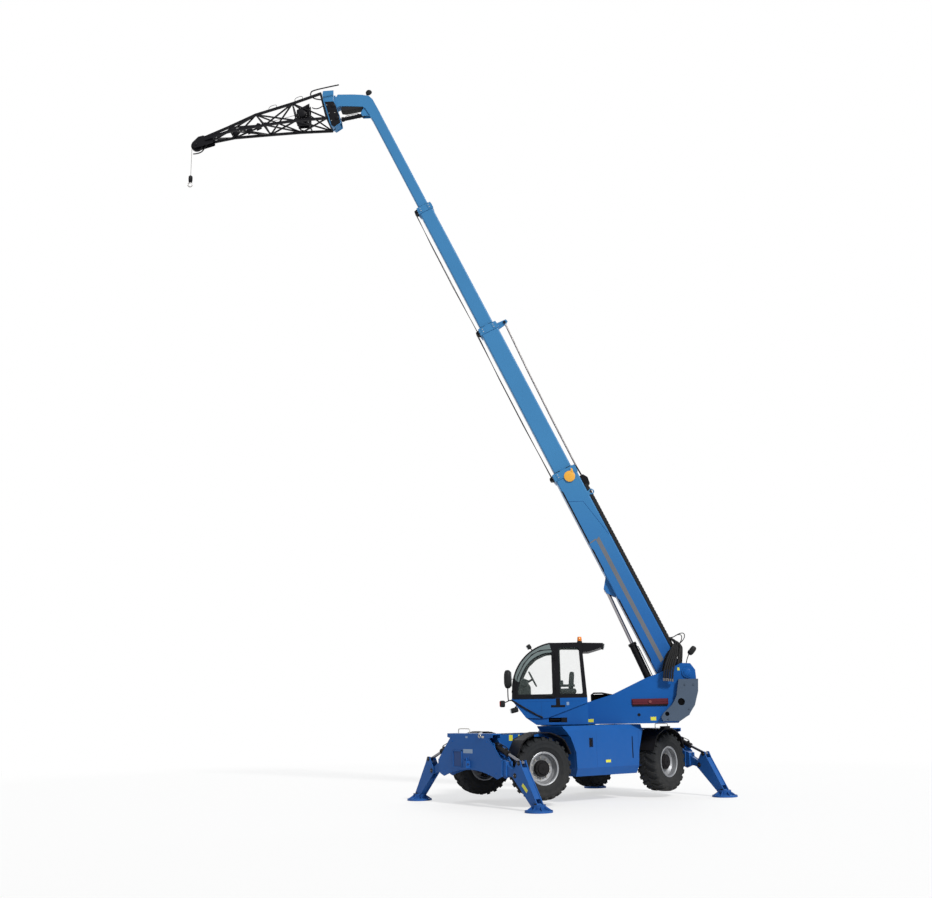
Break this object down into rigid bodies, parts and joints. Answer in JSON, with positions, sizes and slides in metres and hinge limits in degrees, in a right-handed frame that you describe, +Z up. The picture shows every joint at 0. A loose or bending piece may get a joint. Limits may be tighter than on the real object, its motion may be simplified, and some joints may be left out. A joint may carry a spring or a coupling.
{
  "type": "rotating telehandler",
  "caption": "Rotating telehandler on lowered outriggers, its telescopic boom run out and raised, with a tilting lattice jib and a hoist hook, a glazed cab and four steered wheels.",
  "frame": {"origin": "on the ground, under the middle of the box round the whole machine as it stands", "axes": "+X along the chassis towards its front, +Y to the chassis's left, +Z up; the turret stands 41 degrees clockwise of the chassis"},
  "size_m": [9.1351, 7.8661, 16.3476],
  "materials": {
    "blue_paint": "gloss blue paint",
    "black_paint": "satin black paint",
    "grey_paint": "satin grey paint",
    "steel": "machined steel",
    "chrome": "hard chrome",
    "rim": "silver-grey paint",
    "tyre": "black rubber",
    "engine_iron": "painted cast iron",
    "glass": "lightly tinted safety glass",
    "plastic": "grained black plastic"
  },
  "bodies": {
    "chassis": {"chassis_frame": "blue_paint", "slew_ring": "steel", "front_axle": "black_paint", "rear_axle": "black_paint", "side_box_left": "blue_paint", "side_box_right": "blue_paint"},
    "turret": {"turret_frame": "blue_paint", "counterweight": "grey_paint", "engine": "engine_iron", "cab_frame": "black_paint", "cab_base": "blue_paint", "cab_glass": "glass", "cab_interior": "plastic", "mirrors_and_lights": "plastic"},
    "engine_hood": {"engine_hood": "black_paint"},
    "cab_door": {"cab_door": "black_paint", "door_glass": "glass"},
    "boom_1": {"boom_section_1": "blue_paint"},
    "boom_2": {"boom_section_2": "blue_paint"},
    "boom_3": {"boom_section_3": "blue_paint"},
    "boom_4": {"boom_section_4": "blue_paint"},
    "lift_barrel": {"lift_barrel": "black_paint"},
    "lift_rod": {"lift_rod": "chrome"},
    "tilt_barrel": {"tilt_barrel": "black_paint"},
    "tilt_rod": {"tilt_rod": "chrome"},
    "jib": {"carriage": "blue_paint", "jib": "black_paint"},
    "hook": {"hook": "steel"},
    "knuckle_front_left": {"steering_knuckle_front_left": "black_paint"},
    "wheel_front_left": {"tyre_front_left": "tyre", "rim_front_left": "rim"},
    "beam_front_left": {"outrigger_beam_front_left": "blue_paint"},
    "leg_front_left": {"outrigger_leg_front_left": "blue_paint"},
    "barrel_front_left": {"outrigger_barrel_front_left": "black_paint"},
    "rod_front_left": {"outrigger_rod_front_left": "chrome"},
    "knuckle_front_right": {"steering_knuckle_front_right": "black_paint"},
    "wheel_front_right": {"tyre_front_right": "tyre", "rim_front_right": "rim"},
    "beam_front_right": {"outrigger_beam_front_right": "blue_paint"},
    "leg_front_right": {"outrigger_leg_front_right": "blue_paint"},
    "barrel_front_right": {"outrigger_barrel_front_right": "black_paint"},
    "rod_front_right": {"outrigger_rod_front_right": "chrome"},
    "knuckle_rear_left": {"steering_knuckle_rear_left": "black_paint"},
    "wheel_rear_left": {"tyre_rear_left": "tyre", "rim_rear_left": "rim"},
    "beam_rear_left": {"outrigger_beam_rear_left": "blue_paint"},
    "leg_rear_left": {"outrigger_leg_rear_left": "blue_paint"},
    "barrel_rear_left": {"outrigger_barrel_rear_left": "black_paint"},
    "rod_rear_left": {"outrigger_rod_rear_left": "chrome"},
    "knuckle_rear_right": {"steering_knuckle_rear_right": "black_paint"},
    "wheel_rear_right": {"tyre_rear_right": "tyre", "rim_rear_right": "rim"},
    "beam_rear_right": {"outrigger_beam_rear_right": "blue_paint"},
    "leg_rear_right": {"outrigger_leg_rear_right": "blue_paint"},
    "barrel_rear_right": {"outrigger_barrel_rear_right": "black_paint"},
    "rod_rear_right": {"outrigger_rod_rear_right": "chrome"}
  },
  "joints": [
    {"name": "slew", "type": "hinge", "parent": "chassis", "child": "turret", "pos_m": [-1.91996, 1.70776, 1.436], "axis": [0, 0, 1], "continuous": true},
    {"name": "boom_lift", "type": "hinge", "parent": "turret", "child": "boom_1", "pos_m": [-3.7539, 3.30198, 2.43], "axis": [-0.6561, -0.7547, 0], "range_deg": [-65, 5]},
    {"name": "telescope_2", "type": "slide", "parent": "boom_1", "child": "boom_2", "axis": [0.319, -0.2773, 0.9063], "range_m": [-3.48, 0]},
    {"name": "telescope_3", "type": "slide", "parent": "boom_2", "child": "boom_3", "axis": [0.319, -0.2773, 0.9063], "range_m": [-3.091, 0]},
    {"name": "telescope_4", "type": "slide", "parent": "boom_3", "child": "boom_4", "axis": [0.319, -0.2773, 0.9063], "range_m": [-2.621, 0]},
    {"name": "lift_barrel", "type": "hinge", "parent": "turret", "child": "lift_barrel", "pos_m": [-3.41428, 3.00676, 1.63], "axis": [-0.6561, -0.7547, 0], "range_deg": [-62.52, 5.27]},
    {"name": "lift_rod", "type": "slide", "parent": "lift_barrel", "child": "lift_rod", "axis": [0.2923, -0.2541, 0.9219], "range_m": [-0.9827, 0.0784]},
    {"name": "jib_tilt", "type": "hinge", "parent": "boom_4", "child": "jib", "pos_m": [1.89093, -1.60499, 15.90008], "axis": [0.6561, 0.7547, 0], "range_deg": [-65, 6]},
    {"name": "tilt_barrel", "type": "hinge", "parent": "boom_4", "child": "tilt_barrel", "pos_m": [1.35439, -1.13859, 15.65562], "axis": [-0.6561, -0.7547, 0], "range_deg": [-1.84, 10.15]},
    {"name": "tilt_rod", "type": "slide", "parent": "tilt_barrel", "child": "tilt_rod", "axis": [0.7465, -0.6489, -0.1471], "range_m": [-0.0358, 0.3583]},
    {"name": "hook_swing", "type": "hinge", "parent": "jib", "child": "hook", "pos_m": [4.52939, -3.89857, 15.16008], "axis": [0.6561, 0.7547, 0], "range_deg": [-15, 15]},
    {"name": "cab_door", "type": "hinge", "parent": "turret", "child": "cab_door", "pos_m": [-1.01603, 2.46562, 2.4], "axis": [0, 0, 1], "range_deg": [0, 85]},
    {"name": "engine_hood", "type": "hinge", "parent": "turret", "child": "engine_hood", "pos_m": [-3.0027, 1.98646, 2.04], "axis": [-0.7547, 0.6561, 0], "range_deg": [0, 50]},
    {"name": "steer_front_left", "type": "hinge", "parent": "chassis", "child": "knuckle_front_left", "pos_m": [-0.38696, 2.50776, 0.684], "axis": [0, 0, 1], "range_deg": [-13, 37]},
    {"name": "spin_front_left", "type": "hinge", "parent": "knuckle_front_left", "child": "wheel_front_left", "pos_m": [-0.34142, 2.72197, 0.684], "axis": [0.2079, 0.9781, 0], "continuous": true},
    {"name": "steer_front_right", "type": "hinge", "parent": "chassis", "child": "knuckle_front_right", "pos_m": [-0.38696, 0.90776, 0.684], "axis": [0, 0, 1], "range_deg": [-13, 37]},
    {"name": "spin_front_right", "type": "hinge", "parent": "knuckle_front_right", "child": "wheel_front_right", "pos_m": [-0.43249, 0.69354, 0.684], "axis": [0.2079, 0.9781, 0], "continuous": true},
    {"name": "steer_rear_left", "type": "hinge", "parent": "chassis", "child": "knuckle_rear_left", "pos_m": [-3.45296, 2.50776, 0.684], "axis": [0, 0, 1], "range_deg": [-37, 13]},
    {"name": "spin_rear_left", "type": "hinge", "parent": "knuckle_rear_left", "child": "wheel_rear_left", "pos_m": [-3.49849, 2.72197, 0.684], "axis": [-0.2079, 0.9781, 0], "continuous": true},
    {"name": "steer_rear_right", "type": "hinge", "parent": "chassis", "child": "knuckle_rear_right", "pos_m": [-3.45296, 0.90776, 0.684], "axis": [0, 0, 1], "range_deg": [-37, 13]},
    {"name": "spin_rear_right", "type": "hinge", "parent": "knuckle_rear_right", "child": "wheel_rear_right", "pos_m": [-3.40742, 0.69354, 0.684], "axis": [-0.2079, 0.9781, 0], "continuous": true},
    {"name": "outrigger_beam_front_left", "type": "slide", "parent": "chassis", "child": "beam_front_left", "axis": [0, 0.9613, -0.2756], "range_m": [-0.25, 0]},
    {"name": "outrigger_leg_front_left", "type": "hinge", "parent": "beam_front_left", "child": "leg_front_left", "pos_m": [0.45004, 3.08776, 0.6], "axis": [-1, 0, 0], "range_deg": [-60, 0]},
    {"name": "outrigger_barrel_front_left", "type": "hinge", "parent": "beam_front_left", "child": "barrel_front_left", "pos_m": [0.45004, 2.40776, 1.12], "axis": [1, 0, 0], "range_deg": [-9.37, 0.5]},
    {"name": "outrigger_rod_front_left", "type": "slide", "parent": "barrel_front_left", "child": "rod_front_left", "axis": [0, 0.9382, -0.346], "range_m": [-0.2317, 0.003]},
    {"name": "outrigger_beam_front_right", "type": "slide", "parent": "chassis", "child": "beam_front_right", "axis": [0, -0.9613, -0.2756], "range_m": [-0.25, 0]},
    {"name": "outrigger_leg_front_right", "type": "hinge", "parent": "beam_front_right", "child": "leg_front_right", "pos_m": [0.45004, 0.32776, 0.6], "axis": [1, 0, 0], "range_deg": [-60, 0]},
    {"name": "outrigger_barrel_front_right", "type": "hinge", "parent": "beam_front_right", "child": "barrel_front_right", "pos_m": [0.45004, 1.00776, 1.12], "axis": [-1, 0, 0], "range_deg": [-9.37, 0.5]},
    {"name": "outrigger_rod_front_right", "type": "slide", "parent": "barrel_front_right", "child": "rod_front_right", "axis": [0, -0.9382, -0.346], "range_m": [-0.2317, 0.003]},
    {"name": "outrigger_beam_rear_left", "type": "slide", "parent": "chassis", "child": "beam_rear_left", "axis": [0, 0.9613, -0.2756], "range_m": [-0.25, 0]},
    {"name": "outrigger_leg_rear_left", "type": "hinge", "parent": "beam_rear_left", "child": "leg_rear_left", "pos_m": [-4.28996, 3.08776, 0.6], "axis": [-1, 0, 0], "range_deg": [-60, 0]},
    {"name": "outrigger_barrel_rear_left", "type": "hinge", "parent": "beam_rear_left", "child": "barrel_rear_left", "pos_m": [-4.28996, 2.40776, 1.12], "axis": [1, 0, 0], "range_deg": [-9.37, 0.5]},
    {"name": "outrigger_rod_rear_left", "type": "slide", "parent": "barrel_rear_left", "child": "rod_rear_left", "axis": [0, 0.9382, -0.346], "range_m": [-0.2317, 0.003]},
    {"name": "outrigger_beam_rear_right", "type": "slide", "parent": "chassis", "child": "beam_rear_right", "axis": [0, -0.9613, -0.2756], "range_m": [-0.25, 0]},
    {"name": "outrigger_leg_rear_right", "type": "hinge", "parent": "beam_rear_right", "child": "leg_rear_right", "pos_m": [-4.28996, 0.32776, 0.6], "axis": [1, 0, 0], "range_deg": [-60, 0]},
    {"name": "outrigger_barrel_rear_right", "type": "hinge", "parent": "beam_rear_right", "child": "barrel_rear_right", "pos_m": [-4.28996, 1.00776, 1.12], "axis": [-1, 0, 0], "range_deg": [-9.37, 0.5]},
    {"name": "outrigger_rod_rear_right", "type": "slide", "parent": "barrel_rear_right", "child": "rod_rear_right", "axis": [0, -0.9382, -0.346], "range_m": [-0.2317, 0.003]}
  ],
  "couplings": [
    {"joint": "telescope_3", "follows": "telescope_2", "ratio": 0.88793},
    {"joint": "telescope_4", "follows": "telescope_2", "ratio": 0.75287},
    {"joint": "lift_barrel", "follows": "boom_lift", "ratio": 0.95412},
    {"joint": "lift_rod", "follows": "boom_lift", "m_per_rad": 0.86354},
    {"joint": "tilt_barrel", "follows": "jib_tilt", "ratio": -0.14069},
    {"joint": "tilt_rod", "follows": "jib_tilt", "m_per_rad": -0.31315},
    {"joint": "steer_front_right", "follows": "steer_front_left", "ratio": 1},
    {"joint": "steer_rear_left", "follows": "steer_front_left", "ratio": -1},
    {"joint": "steer_rear_right", "follows": "steer_front_left", "ratio": -1},
    {"joint": "outrigger_barrel_front_left", "follows": "outrigger_leg_front_left", "ratio": 0.14785},
    {"joint": "outrigger_rod_front_left", "follows": "outrigger_leg_front_left", "m_per_rad": 0.21838},
    {"joint": "outrigger_barrel_front_right", "follows": "outrigger_leg_front_right", "ratio": 0.14785},
    {"joint": "outrigger_rod_front_right", "follows": "outrigger_leg_front_right", "m_per_rad": 0.21838},
    {"joint": "outrigger_barrel_rear_left", "follows": "outrigger_leg_rear_left", "ratio": 0.14785},
    {"joint": "outrigger_rod_rear_left", "follows": "outrigger_leg_rear_left", "m_per_rad": 0.21838},
    {"joint": "outrigger_barrel_rear_right", "follows": "outrigger_leg_rear_right", "ratio": 0.14785},
    {"joint": "outrigger_rod_rear_right", "follows": "outrigger_leg_rear_right", "m_per_rad": 0.21838}
  ]
}
